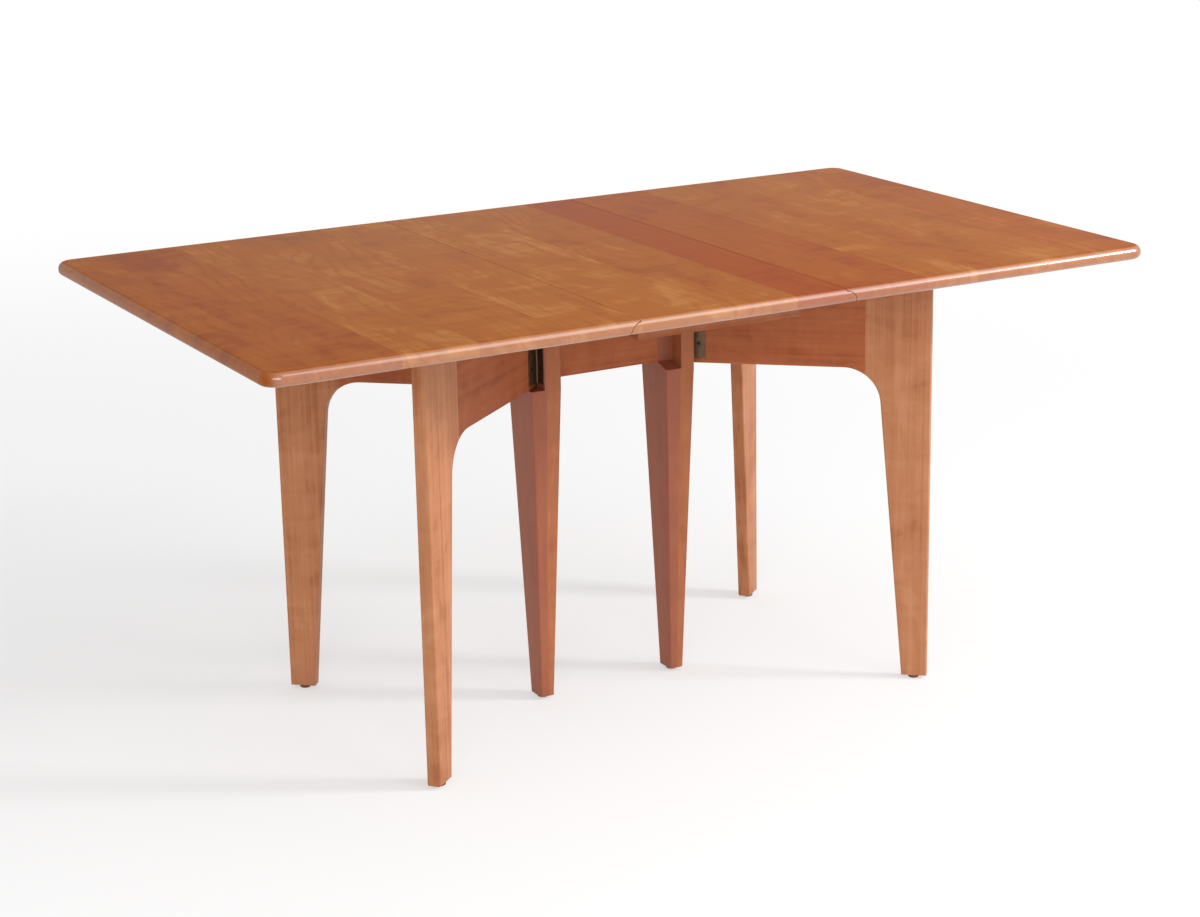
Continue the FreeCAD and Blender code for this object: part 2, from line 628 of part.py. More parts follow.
def gate_leg(reach):
    """The tapered leg, with the rest of the arc on its inner edge."""
    centre_x, centre_z, joint_deg = gate_curve(reach)
    joint = reach - LEG_WIDTH
    y = HINGE_FACE
    foot_x = reach - GATE_FOOT_WIDTH
    edges = [quarter(centre_x, centre_z, GATE_ARC_RADIUS, y, joint_deg, GATE_LEG_TAPER_DEG)]
    outline = [on_curve(reach, GATE_LEG_TAPER_DEG), (foot_x, GLIDE_HEIGHT), (reach, GLIDE_HEIGHT)]
    outline += [(reach, GATE_TOP), (joint, GATE_TOP), on_curve(reach, joint_deg)]
    edges += lines(outline, y)
    board = prism_y(edges, y, GATE_BACK)

    def eased(edge):
        span = edge.BoundBox
        joint_line = span.XMax < joint + 1e-6
        return on_broad_face(edge) and span.ZMin < GATE_TOP - 1 and not joint_line

    board = rounded_edges(board, eased)
    return board.cut(gate_tenon(joint, MORTISE_GAP))


def make_gate(reach):
    """The pieces of one gate, by name."""
    glide_x = reach - GLIDE_FROM_EDGE
    glide_y = HINGE_FACE + GATE_THICKNESS / 2
    holes = [small_hole(p, V(0, 1, 0), HINGE_SCREW_LENGTH) for p in gate_screw_places()]
    screws = [small_screw(p, V(0, 1, 0), HINGE_SCREW_LENGTH) for p in gate_screw_places()]
    return {
        "gate_apron": cut_all(gate_apron(reach), holes),
        "gate_leg": gate_leg(reach).cut(glide_hole(glide_x, glide_y)),
        "gate_glide": glide(glide_x, glide_y),
        "gate_hinge_plate": cut_all(gate_hinge_plate(1, GATE_PLATE_WIDTH), holes),
        "gate_hinge_screws": Part.makeCompound(screws),
    }


def post_hinge_plate(mounting):
    """The plate that holds a right-front gate's hinge to its post."""
    plate = gate_hinge_plate(0, POST_PLATE_WIDTH).mirror(V(0, 0, 0), V(0, 1, 0))
    plate.rotate(V(0, 0, 0), V(0, 0, 1), -90)
    plate.translate(V(mounting[0], -mounting[1], 0))
    return cut_all(plate, [small_hole(p, V(-1, 0, 0), HINGE_SCREW_LENGTH) for p in post_screw_places(mounting)])


def make_gates(parts):
    for (side, end), (mounting, reach) in GATES.items():
        sx, sy = SIDES[side], ENDS[end]
        for piece, shape in make_gate(reach).items():
            parts[side + "_" + end + "_" + piece] = mirrored(gate_place(shape, mounting), sx, sy)
        parts[side + "_" + end + "_post_hinge_plate"] = mirrored(post_hinge_plate(mounting), sx, sy)
        pin = Part.makeCylinder(PIN_RADIUS, HINGE_LENGTH, V(mounting[0], -mounting[1], HINGE_BOTTOM))
        parts[side + "_" + end + "_gate_pin"] = mirrored(pin, sx, sy)


def main():
    parts = {}
    make_top(parts)
    make_battens_and_cleats(parts)
    make_rail(parts)
    make_posts(parts)
    make_gates(parts)
    os.makedirs("parts", exist_ok=True)
    for name, shape in parts.items():
        shape.exportStep("parts/" + name + ".step")
        solids = shape.Solids
        valid = all(s.isValid() and s.Volume > 0 for s in solids)
        print(name, len(solids), "valid" if valid else "NOT VALID", round(shape.Volume))


main()
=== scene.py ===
import json
import math

import bpy
from bpy.props import FloatProperty, FloatVectorProperty, PointerProperty
from bpy.types import Operator, Panel, PropertyGroup
from mathutils import Matrix, Vector

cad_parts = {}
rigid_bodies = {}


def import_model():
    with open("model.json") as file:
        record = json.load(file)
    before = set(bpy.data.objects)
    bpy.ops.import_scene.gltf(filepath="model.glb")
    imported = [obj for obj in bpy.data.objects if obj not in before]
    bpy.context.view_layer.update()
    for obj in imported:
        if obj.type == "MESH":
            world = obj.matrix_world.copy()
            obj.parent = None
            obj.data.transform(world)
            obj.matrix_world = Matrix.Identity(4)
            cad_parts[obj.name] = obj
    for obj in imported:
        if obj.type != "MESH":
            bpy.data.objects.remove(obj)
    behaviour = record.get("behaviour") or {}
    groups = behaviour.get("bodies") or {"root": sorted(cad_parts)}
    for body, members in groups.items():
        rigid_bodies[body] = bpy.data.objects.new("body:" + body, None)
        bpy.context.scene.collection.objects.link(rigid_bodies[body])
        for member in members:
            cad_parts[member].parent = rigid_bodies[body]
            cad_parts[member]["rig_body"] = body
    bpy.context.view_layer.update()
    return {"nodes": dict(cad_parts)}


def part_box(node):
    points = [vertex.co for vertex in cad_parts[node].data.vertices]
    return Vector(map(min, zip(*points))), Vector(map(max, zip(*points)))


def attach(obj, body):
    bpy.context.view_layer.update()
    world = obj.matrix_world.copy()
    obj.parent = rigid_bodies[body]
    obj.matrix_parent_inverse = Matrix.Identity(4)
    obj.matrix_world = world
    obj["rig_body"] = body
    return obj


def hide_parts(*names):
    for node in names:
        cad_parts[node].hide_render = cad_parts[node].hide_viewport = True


bl_info = {
    "name": "Gate-leg drop-leaf table",
    "version": (1, 0, 0),
    "blender": (4, 5, 0),
    "location": "View3D > Sidebar > Table",
    "description": "Finishes the drop-leaf table's wood and fittings, and sets up a studio around it",
    "category": "Object",
}

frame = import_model()
NODES = frame["nodes"]
SIDES = {"left": -1, "right": 1}
ENDS = ("front", "rear")
GATES = [side + "_" + end for side in SIDES for end in ENDS]

# ---- sizes read from the frame, in metres ----
LEAF_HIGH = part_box("right_leaf")[1]
HALF_LENGTH = LEAF_HIGH.x
TABLE_HEIGHT = LEAF_HIGH.z
POST_LOW, POST_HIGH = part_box("right_post")
PLY_X = (POST_LOW.x + POST_HIGH.x) / 2

# ---- glued staves across the top: start in metres from the middle, tone from dark to pale, redness ----
STAVES = (
    (-0.770, 0.42, 0.35),
    (-0.692, 0.36, 0.40),
    (-0.562, 0.64, 0.10),
    (-0.444, 0.56, 0.15),
    (-0.307, 0.62, 0.05),
    (-0.179, 0.70, 0.05),
    (-0.040, 0.50, 0.20),
    (0.086, 0.30, 0.95),
    (0.179, 0.40, 0.55),
    (0.273, 0.34, 0.65),
    (0.323, 0.60, 0.15),
    (0.420, 0.54, 0.25),
    (0.495, 0.62, 0.10),
    (0.628, 0.46, 0.40),
)

# ---- noises in the wood: features per metre along, across and through, detail, roughness, distortion ----
CLOUD = ((5.0, 9.0, 9.0), 4.0, 0.6, 1.2)
CURL = ((24.0, 7.0, 7.0), 2.0, 0.5, 1.6)
STREAK = ((1.3, 120.0, 120.0), 4.0, 0.65, 0.3)
WANDER = ((2.4, 6.0, 6.0), 2.0, 0.5, 0.0)
PORES = ((26.0, 800.0, 800.0), 2.0, 0.6, 0.0)

# ---- how the noises make the wood: ranges are the noise values that they run between ----
CURL_SHARE = 0.4
FIGURE_RANGE = (0.35, 0.65)
RING_PITCH = 260.0
RING_TILT = 0.4
RING_WANDER = 60.0
RING_RANGE = (0.30, 1.0)
RING_PATCHES = (0.38, 0.62)
PORE_RANGE = (0.60, 0.76)
PORE_SHADE = 0.20
TONE_SHARE = 0.42
TONE_JUMP = {"X": 41.0, "Z": 17.0}
RED_SHARE = 0.72
STREAK_HEIGHT = 0.35
WOOD_BUMP = (0.08, 0.0003)
DARKER = (0.20, 0.30, 0.38)
PALER = (0.14, 0.24, 0.34)

# ---- lacquer: a swing is how much the figure changes its roughness ----
LACQUER_IOR = 1.46
TOP_SWING = 0.05
PLAIN_SWING = 0.06
PLAIN_SPECULAR = 0.16
FLAT_SPECULAR = 0.01
RIM_COAT_ROUGHNESS = 0.10
RIM_COAT_IOR = 1.8

# ---- where the rim's sheen starts and is full, in metres below the flat; where it fades near the ends ----
RIM_DEPTH = (0.0004, 0.0022)
END_FADE = (0.022, 0.006)
END_SHEEN = 0.12

# ---- the posts' plies: tones, and how the left-hand ply differs in colour ----
PLY_TONE = 0.10
REAR_PLY_TONE = 0.80
RIGHT_PLY_TONE = 0.45
LEFT_PLY_TINT = (0.82, 0.78, 1.10)
POST_CONTRAST = 1.5

# ---- grain directions and the places in the pattern from which each piece is cut ----
UPRIGHT = (0.0, math.radians(90.0), 0.0)
FRONT_TO_REAR = (0.0, 0.0, math.radians(90.0))
POST_CUT = (3.0, 0.7, 0.4)
RAIL_CUT = (0.3, 0.0, 0.2)
BATTEN_CUT = (0.9, 0.0, 0.6)
GATE_CUT = (1.7, 0.3, 0.9)

# ---- handling marks and pits in the fittings; marks are noise scale, detail and roughness ----
MARKS = (160.0, 4.0, 0.6)
MARK_RANGE = (0.35, 0.7)
MARK_SWING = 0.2
WORN_GAIN = 1.35
WORN_LIFT = 0.004
PIT_SCALE = 900.0
PIT_BUMP = (0.06, 0.0002)

# ---- meshes ----
MERGE_DISTANCE = 0.000002
SMOOTH_ANGLE = math.radians(40.0)
EASED_ANGLE = math.radians(50.0)

# ---- studio floor: it turns white over a reach, in metres, from a place at the table's left ----
WHITE = (1.0, 1.0, 1.0, 1.0)
FLOOR_GREY = (0.88, 0.88, 0.88)
FLOOR_ROUGHNESS = 0.9
FLOOR_HEIGHT = -0.0005
GLOW_SHIFT = (0.7, -0.5, 0.0)
GLOW_SCALE = (1.0, 0.8, 1.0)
GLOW_REACH = (0.7, 3.4)

# ---- lamps: place, point aimed at, width and height, in metres ----
LAMPS = {
    "key": ((1.6, -2.2, 3.0), (0.2, -0.1, 0.6), 3.0, 2.4),
    "front": ((-2.6, -5.0, 2.3), (0.0, 0.0, 0.3), 4.0, 1.8),
    "side": ((3.6, -2.6, 2.5), (0.0, 0.0, 0.2), 0.8, 0.8),
}

# ---- camera: place in metres, angles, and lens in pixels of a frame of this size ----
CAMERA_PLACE = Vector((-2.0358, -3.6619, 1.6134))
CAMERA_YAW = math.radians(29.83)
CAMERA_PITCH = math.radians(16.30)
CAMERA_ROLL = math.radians(-0.87)
FOCAL_PIXELS = 2649.0
FRAME_WIDTH = 1200.0
FRAME_HEIGHT = 917.0
AXIS_PIXEL = (637.4, 459.8)
SENSOR_WIDTH = 36.0
CLIP_END = 200.0


class TableTop(PropertyGroup):
    """Finish of the three panels of the top."""

    base: FloatVectorProperty(
        name="Stain", description="Middle colour of the stained top", subtype="COLOR", size=3,
        min=0.0, max=1.0, default=(0.345, 0.104, 0.013),
    )
    pale: FloatVectorProperty(
        name="Pale figure", description="Colour of the palest wood in the top", subtype="COLOR", size=3,
        min=0.0, max=1.0, default=(0.450, 0.180, 0.042),
    )
    dark: FloatVectorProperty(
        name="Dark figure", description="Colour of the darkest wood in the top", subtype="COLOR", size=3,
        min=0.0, max=1.0, default=(0.215, 0.044, 0.004),
    )
    red: FloatVectorProperty(
        name="Red staves", description="Colour that the reddest staves lean to", subtype="COLOR", size=3,
        min=0.0, max=1.0, default=(0.285, 0.042, 0.003),
    )
    roughness: FloatProperty(
        name="Roughness", description="Roughness of the satin lacquer on the flat", subtype="FACTOR",
        min=0.0, max=1.0, default=0.30,
    )
    edge_sheen: FloatProperty(
        name="Edge sheen", description="How strongly the rounded rim reflects", subtype="FACTOR",
        min=0.0, max=1.0, default=0.80,
    )


class Legs(PropertyGroup):
    """Finish of everything wooden below the top."""

    leg: FloatVectorProperty(
        name="Leg wood", description="Middle colour of the four gate legs", subtype="COLOR", size=3,
        min=0.0, max=1.0, default=(0.455, 0.187, 0.086),
    )
    # The battens are given this colour too, paler than the rail's: painted light for the light that falls
    # on them.
    post: FloatVectorProperty(
        name="Post wood", description="Middle colour of the two posts and the battens",
        subtype="COLOR", size=3, min=0.0, max=1.0, default=(0.375, 0.130, 0.058),
    )
    rail: FloatVectorProperty(
        name="Rail wood", description="Middle colour of rail, cleats, gate stops and aprons",
        subtype="COLOR", size=3, min=0.0, max=1.0, default=(0.370, 0.105, 0.038),
    )
    roughness: FloatProperty(
        name="Roughness", description="Roughness of the satin lacquer below the top", subtype="FACTOR",
        min=0.0, max=1.0, default=0.42,
    )
    edge: FloatProperty(
        name="Eased edge", description="Width of the eased edges of rail, battens, cleats and stops",
        subtype="DISTANCE", unit="LENGTH", min=0.0002, max=0.003, default=0.0008,
    )


class Fittings(PropertyGroup):
    """Finish of hinges, screws and glides."""

    bronze: FloatVectorProperty(
        name="Gate hinges", description="Colour of the dark gate hinge plates", subtype="COLOR", size=3,
        min=0.0, max=1.0, default=(0.130, 0.072, 0.040),
    )
    brass: FloatVectorProperty(
        name="Hinge pins", description="Colour of the pins in the gate hinges", subtype="COLOR", size=3,
        min=0.0, max=1.0, default=(0.460, 0.300, 0.140),
    )
    steel: FloatVectorProperty(
        name="Leaf hinges", description="Colour of the steel leaf hinges", subtype="COLOR", size=3,
        min=0.0, max=1.0, default=(0.420, 0.420, 0.430),
    )
    screw: FloatVectorProperty(
        name="Screws", description="Colour of the black screws", subtype="COLOR", size=3,
        min=0.0, max=1.0, default=(0.018, 0.017, 0.016),
    )
    glide: FloatVectorProperty(
        name="Glides", description="Colour of the plastic glides", subtype="COLOR", size=3,
        min=0.0, max=1.0, default=(0.120, 0.045, 0.025),
    )


class Studio(PropertyGroup):
    """Floor and light."""

    floor_size: FloatProperty(
        name="Floor size", description="Side of the square studio floor", subtype="DISTANCE",
        unit="LENGTH", min=10.0, max=200.0, default=80.0,
    )
    floor_glow: FloatProperty(
        name="Floor glow", description="Share of plain white that the camera sees in the near floor",
        subtype="FACTOR", min=0.0, max=1.0, default=0.50,
    )
    fill: FloatProperty(
        name="Fill", description="Strength of the even light from all round",
        min=0.0, max=5.0, default=0.66,
    )
    key: FloatProperty(
        name="Key", description="Power of the large soft lamp over the right front", subtype="POWER",
        unit="POWER", min=0.0, max=1000.0, default=44.0,
    )
    front: FloatProperty(
        name="Front", description="Power of the large soft lamp at the left front", subtype="POWER",
        unit="POWER", min=0.0, max=1000.0, default=100.0,
    )
    side: FloatProperty(
        name="Side", description="Power of the small lamp on the right", subtype="POWER",
        unit="POWER", min=0.0, max=1000.0, default=130.0,
    )


# ---- node helpers ----
class Shader:
    """A material's node tree, built one node at a time."""

    def __init__(self, name):
        self.material = bpy.data.materials.new(name)
        self.material.use_nodes = True
        self.tree = self.material.node_tree
        self.surface = self.tree.nodes["Principled BSDF"]

    def node(self, kind, **sockets):
        made = self.tree.nodes.new(kind)
        for name, value in sockets.items():
            made.inputs[name].default_value = value
        return made

    def link(self, source, target):
        self.tree.links.new(source, target)

    def feed(self, socket, value):
        """Link an output to the socket, or write a plain value into it."""
        if isinstance(value, bpy.types.NodeSocket):
            self.link(value, socket)
        elif socket.type == "RGBA":
            socket.default_value = (*value, 1.0)
        else:
            socket.default_value = value

    def finish(self, values):
        """Feed the surface's inputs by name."""
        for name, value in values.items():
            self.feed(self.surface.inputs[name], value)

    def math(self, operation, a, b=0.0, c=0.0, clamp=False):
        made = self.node("ShaderNodeMath")
        made.operation = operation
        made.use_clamp = clamp
        for socket, value in zip(made.inputs, (a, b, c)):
            self.feed(socket, value)
        return made.outputs[0]

    def vector_math(self, operation, a, b=(0.0, 0.0, 0.0)):
        made = self.node("ShaderNodeVectorMath")
        made.operation = operation
        self.feed(made.inputs[0], a)
        self.feed(made.inputs[1], b)
        return made.outputs["Value" if operation == "LENGTH" else "Vector"]

    def spread(self, value, low, high, out_low=0.0, out_high=1.0):
        """A smooth change from out_low to out_high while the value goes from low to high."""
        limits = {"From Min": low, "From Max": high, "To Min": out_low, "To Max": out_high}
        made = self.node("ShaderNodeMapRange", **limits)
        made.interpolation_type = "SMOOTHSTEP"
        self.link(value, made.inputs["Value"])
        return made.outputs["Result"]

    def mix(self, factor, a, b):
        made = self.node("ShaderNodeMix")
        made.data_type = "RGBA"
        for place, value in ((0, factor), (6, a), (7, b)):
            self.feed(made.inputs[place], value)
        return made.outputs[2]

    def split(self, vector):
        made = self.node("ShaderNodeSeparateXYZ")
        self.link(vector, made.inputs["Vector"])
        return made.outputs

    def coordinates(self, turn=(0.0, 0.0, 0.0), shift=(0.0, 0.0, 0.0), scale=(1.0, 1.0, 1.0)):
        place = self.node("ShaderNodeTexCoord")
        mapping = self.node("ShaderNodeMapping", Location=shift, Rotation=turn, Scale=scale)
        self.link(place.outputs["Object"], mapping.inputs["Vector"])
        return mapping.outputs["Vector"]

    def axis(self, name):
        """One of the object's own coordinates."""
        return self.split(self.coordinates())[name]

    def noise(self, vector, scale, detail=2.0, roughness=0.5, distortion=0.0):
        settings = {"Scale": scale, "Detail": detail, "Roughness": roughness, "Distortion": distortion}
        made = self.node("ShaderNodeTexNoise", **settings)
        self.link(vector, made.inputs["Vector"])
        return made.outputs["Fac"]

    def stretched_noise(self, vector, features, detail, roughness, distortion):
        """Noise with its own number of features per metre in each direction."""
        stretched = self.vector_math("MULTIPLY", vector, features)
        return self.noise(stretched, 1.0, detail, roughness, distortion)

    def bump(self, height, strength, distance):
        made = self.node("ShaderNodeBump", Strength=strength, Distance=distance)
        self.link(height, made.inputs["Height"])
        self.link(made.outputs["Normal"], self.surface.inputs["Normal"])


def background_rays(tree):
    """One for the rays that show the white background: camera, glossy and transmission rays."""
    rays = tree.nodes.new("ShaderNodeLightPath")
    seen = rays.outputs["Is Camera Ray"]
    for name in ("Is Glossy Ray", "Is Transmission Ray"):
        either = tree.nodes.new("ShaderNodeMath")
        either.operation = "MAXIMUM"
        tree.links.new(seen, either.inputs[0])
        tree.links.new(rays.outputs[name], either.inputs[1])
        seen = either.outputs[0]
    return seen


def grain(shader, vector, look, tone=None, red=None, cloudy=0.45, rings=0.10):
    """Colour and bump of stained close-grained wood whose grain runs along the vector's X.

    look is the dark, middle and pale colours. tone gives each stave its own pattern and depth.
    red is how far the wood leans to another colour, and that colour.
    """
    dark, middle, pale = look
    if tone is not None:
        jump = shader.node("ShaderNodeCombineXYZ")
        for name, size in TONE_JUMP.items():
            shader.link(shader.math("MULTIPLY", tone, size), jump.inputs[name])
        vector = shader.vector_math("ADD", vector, jump.outputs["Vector"])
    cloud = shader.stretched_noise(vector, *CLOUD)
    curl = shader.stretched_noise(vector, *CURL)
    streak = shader.stretched_noise(vector, *STREAK)
    wander = shader.stretched_noise(vector, *WANDER)
    parts = shader.split(vector)
    across = shader.math("ADD", parts["Y"], shader.math("MULTIPLY", parts["Z"], RING_TILT))
    phase = shader.math("MULTIPLY_ADD", wander, RING_WANDER, shader.math("MULTIPLY", across, RING_PITCH))
    ring = shader.spread(shader.math("SINE", phase), *RING_RANGE)
    ring = shader.math("MULTIPLY", ring, shader.spread(cloud, *RING_PATCHES))
    pore = shader.spread(shader.stretched_noise(vector, *PORES), *PORE_RANGE)
    figure = shader.math("MULTIPLY", cloud, cloudy)
    figure = shader.math("MULTIPLY_ADD", curl, cloudy * CURL_SHARE, figure)
    figure = shader.math("MULTIPLY_ADD", streak, 1.0 - cloudy * (1.0 + CURL_SHARE), figure)
    figure = shader.spread(figure, *FIGURE_RANGE)
    if tone is not None:
        own_tone = shader.math("MULTIPLY", tone, TONE_SHARE)
        figure = shader.math("MULTIPLY_ADD", figure, 1.0 - TONE_SHARE, own_tone, clamp=True)
    low = shader.mix(shader.spread(figure, 0.0, 0.5), dark, middle)
    colour = shader.mix(shader.spread(figure, 0.5, 1.0), low, pale)
    if red is not None:
        colour = shader.mix(shader.math("MULTIPLY", red[0], RED_SHARE), colour, red[1])
    colour = shader.mix(shader.math("MULTIPLY", ring, rings), colour, dark)
    colour = shader.mix(shader.math("MULTIPLY", pore, PORE_SHADE), colour, dark)
    shader.finish({"Base Color": colour})
    height = shader.math("SUBTRACT", shader.math("MULTIPLY", streak, STREAK_HEIGHT), pore)
    shader.bump(height, *WOOD_BUMP)
    return figure


def steps(shader, value, low, high, stops):
    """Two outputs that jump at each stop; a stop is a place between low and high and two numbers."""
    ramp = shader.node("ShaderNodeValToRGB")
    ramp.color_ramp.interpolation = "CONSTANT"
    marks = ramp.color_ramp.elements
    while len(marks) < len(stops):
        marks.new(1.0)
    for mark, (place, first, second) in zip(marks, stops):
        mark.position = min(max((place - low) / (high - low), 0.0), 1.0)
        mark.color = (first, second, 0.0, 1.0)
    along = shader.math("DIVIDE", shader.math("SUBTRACT", value, low), high - low)
    shader.link(along, ramp.inputs["Fac"])
    parts = shader.node("ShaderNodeSeparateColor")
    shader.link(ramp.outputs["Color"], parts.inputs["Color"])
    return parts.outputs["Red"], parts.outputs["Green"]


def tones(colour, contrast=1.0):
    """Dark, middle and pale tones of one wood colour."""
    dark = tuple(c * (1.0 - contrast * less) for c, less in zip(colour, DARKER))
    pale = tuple(c * (1.0 + contrast * more) for c, more in zip(colour, PALER))
    return dark, tuple(colour), pale


def plain_lacquer(shader, figure, roughness):
    """The satin lacquer of everything below the top."""
    shader.finish({
        "Roughness": shader.math("MULTIPLY_ADD", figure, PLAIN_SWING, roughness - PLAIN_SWING / 2),
        "Specular IOR Level": PLAIN_SPECULAR,
        "IOR": LACQUER_IOR,
    })


def top_wood(look):
    """Wood of the top: staves side by side, grain from front to rear, a brighter sheen on the rim."""
    shader = Shader("stained_top")
    tone, red = steps(shader, shader.axis("X"), -HALF_LENGTH, HALF_LENGTH, STAVES)
    figure = grain(
        shader, shader.coordinates(turn=FRONT_TO_REAR), (look.dark, look.base, look.pale),
        tone, (red, look.red), cloudy=0.60, rings=0.28,
    )
    rim = shader.spread(shader.axis("Z"), *(TABLE_HEIGHT - depth for depth in RIM_DEPTH))
    fade = [HALF_LENGTH - inset for inset in END_FADE]
    end = shader.spread(shader.math("ABSOLUTE", shader.axis("X")), *fade, 1.0, END_SHEEN)
    rim = shader.math("MULTIPLY", rim, end)
    shader.finish({
        "Specular IOR Level": shader.math("MULTIPLY_ADD", rim, look.edge_sheen, FLAT_SPECULAR),
        "IOR": LACQUER_IOR,
        "Roughness": shader.math("MULTIPLY_ADD", figure, TOP_SWING, look.roughness),
        "Coat Weight": shader.math("MULTIPLY", rim, look.edge_sheen),
        "Coat Roughness": RIM_COAT_ROUGHNESS,
        "Coat IOR": RIM_COAT_IOR,
    })
    return shader.material


def wood(name, colour, roughness, turn=(0.0, 0.0, 0.0), shift=(0.0, 0.0, 0.0)):
    """Lacquered wood of one colour; turn brings the grain's direction on to X."""
    shader = Shader(name)
    figure = grain(shader, shader.coordinates(turn, shift), tones(colour))
    plain_lacquer(shader, figure, roughness)
    return shader.material


def post_wood(name, sign, colour, roughness):
    """Wood of a post glued up from four lengths, each a little different in tone."""
    shader = Shader(name)
    right_ply = shader.math("GREATER_THAN", shader.axis("X"), sign * PLY_X)
    rear_ply = shader.math("GREATER_THAN", shader.axis("Y"), 0.0)
    tone = shader.math("MULTIPLY_ADD", rear_ply, REAR_PLY_TONE, PLY_TONE)
    tone = shader.math("MULTIPLY_ADD", right_ply, RIGHT_PLY_TONE, tone)
    left_ply = shader.math("SUBTRACT", 1.0, right_ply)
    left_colour = tuple(c * k for c, k in zip(colour, LEFT_PLY_TINT))
    along, across, through = POST_CUT
    vector = shader.coordinates(UPRIGHT, (sign * along, across, through))
    figure = grain(shader, vector, tones(colour, POST_CONTRAST), tone, (left_ply, left_colour))
    plain_lacquer(shader, figure, roughness)
    return shader.material


def fitting(name, colour, roughness, metallic):
    """Metal or plastic with faint handling marks."""
    shader = Shader(name)
    vector = shader.coordinates()
    marks = shader.noise(vector, *MARKS)
    worn = tuple(min(c * WORN_GAIN + WORN_LIFT, 1.0) for c in colour)
    shader.finish({
        "Base Color": shader.mix(shader.spread(marks, *MARK_RANGE), tuple(colour), worn),
        "Roughness": shader.math("MULTIPLY_ADD", marks, MARK_SWING, roughness - MARK_SWING / 2),
        "Metallic": metallic,
    })
    shader.bump(shader.noise(vector, PIT_SCALE), *PIT_BUMP)
    return shader.material


# ---- mesh helpers ----
def select_only(obj):
    bpy.ops.object.select_all(action="DESELECT")
    obj.select_set(True)
    bpy.context.view_layer.objects.active = obj


def smooth_copy(node, material):
    """A merged, smoothly shaded copy of a CAD node that stands in its place."""
    source = NODES[node]
    piece = bpy.data.objects.new(node + "_finished", source.data.copy())
    bpy.context.scene.collection.objects.link(piece)
    piece.data.materials.clear()
    piece.data.materials.append(material)
    select_only(piece)
    bpy.ops.object.mode_set(mode="EDIT")
    bpy.ops.mesh.select_all(action="SELECT")
    bpy.ops.mesh.customdata_custom_splitnormals_clear()
    bpy.ops.mesh.remove_doubles(threshold=MERGE_DISTANCE)
    bpy.ops.object.mode_set(mode="OBJECT")
    bpy.ops.object.shade_smooth_by_angle(angle=SMOOTH_ANGLE)
    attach(piece, source["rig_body"])
    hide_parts(node)
    return piece


def ease_edges(piece, width):
    """Round the sharp edges of a block a little."""
    select_only(piece)
    bevel = piece.modifiers.new("eased", "BEVEL")
    bevel.width = width
    bevel.segments = 2
    bevel.limit_method = "ANGLE"
    bevel.angle_limit = EASED_ANGLE
    bevel.use_clamp_overlap = True
    bpy.ops.object.modifier_apply(modifier=bevel.name)
    bpy.ops.object.shade_smooth_by_angle(angle=SMOOTH_ANGLE)


# ---- operators ----
class TABLE_OT_top(Operator):
    """Finish the centre panel and the two leaves"""

    bl_idname = "table.top"
    bl_label = "Table top"

    def execute(self, context):
        material = top_wood(context.scene.table_top)
        for node in ("centre_panel", "left_leaf", "right_leaf"):
            smooth_copy(node, material)
        return {"FINISHED"}


class TABLE_OT_posts(Operator):
    """Finish the two posts"""

    bl_idname = "table.posts"
    bl_label = "Posts"

    def execute(self, context):
        look = context.scene.table_legs
        for side, sign in SIDES.items():
            material = post_wood(side + "_post_wood", sign, look.post, look.roughness)
            smooth_copy(side + "_post", material)
        return {"FINISHED"}


class TABLE_OT_frame(Operator):
    """Finish the rail, battens, cleats and gate stops"""

    bl_idname = "table.frame"
    bl_label = "Rail and battens"

    def execute(self, context):
        look = context.scene.table_legs
        rail = wood("rail_wood", look.rail, look.roughness, shift=RAIL_CUT)
        # The battens take the paler post colour instead of the rail's: painted light, standing in for the
        # light they catch in front of the shaded rail.
        batten = wood("batten_wood_painted_lit", look.post, look.roughness, shift=BATTEN_CUT)
        blocks = {"centre_rail": rail}
        for end in ENDS:
            blocks[end + "_batten"] = batten
            blocks[end + "_rail_cleat"] = rail
        for gate in GATES:
            blocks[gate + "_gate_stop"] = rail
        for node, material in blocks.items():
            ease_edges(smooth_copy(node, material), look.edge)
        return {"FINISHED"}


class TABLE_OT_gates(Operator):
    """Finish the legs and aprons of the four gates"""

    bl_idname = "table.gates"
    bl_label = "Gates"

    def execute(self, context):
        look = context.scene.table_legs
        along, across, through = GATE_CUT
        for number, gate in enumerate(GATES):
            low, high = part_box(gate + "_gate_apron")
            slant = math.atan2(high.y - low.y, high.x - low.x)
            turn = math.copysign(slant, (low.x + high.x) * (low.y + high.y))
            cut = (number * along, across, through)
            material = wood(gate + "_leg_wood", look.leg, look.roughness, UPRIGHT, cut)
            smooth_copy(gate + "_gate_leg", material)
            material = wood(gate + "_apron_wood", look.rail, look.roughness, (0.0, 0.0, -turn), cut)
            smooth_copy(gate + "_gate_apron", material)
        return {"FINISHED"}


class TABLE_OT_fittings(Operator):
    """Finish hinges, pins, screws and glides"""

    bl_idname = "table.fittings"
    bl_label = "Fittings"

    def execute(self, context):
        look = context.scene.table_fittings
        bronze = fitting("dark_bronze", look.bronze, roughness=0.42, metallic=0.75)
        brass = fitting("worn_brass", look.brass, roughness=0.34, metallic=0.95)
        steel = fitting("hinge_steel", look.steel, roughness=0.36, metallic=0.95)
        black = fitting("black_screws", look.screw, roughness=0.45, metallic=0.6)
        plastic = fitting("brown_glides", look.glide, roughness=0.55, metallic=0.0)
        for gate in GATES:
            smooth_copy(gate + "_post_hinge_plate", bronze)
            smooth_copy(gate + "_gate_hinge_plate", bronze)
            smooth_copy(gate + "_gate_pin", brass)
            smooth_copy(gate + "_gate_hinge_screws", black)
            smooth_copy(gate + "_gate_glide", plastic)
        for side in SIDES:
            smooth_copy(side + "_post_hinge_screws", black)
            smooth_copy(side + "_post_glide", plastic)
            smooth_copy(side + "_leaf_screws", black)
            for part in ("fixed_plates", "moving_plates", "pins"):
                smooth_copy(side + "_leaf_hinge_" + part, steel)
        smooth_copy("centre_panel_hinge_screws", black)
        smooth_copy("top_fixing_screws", black)
        return {"FINISHED"}


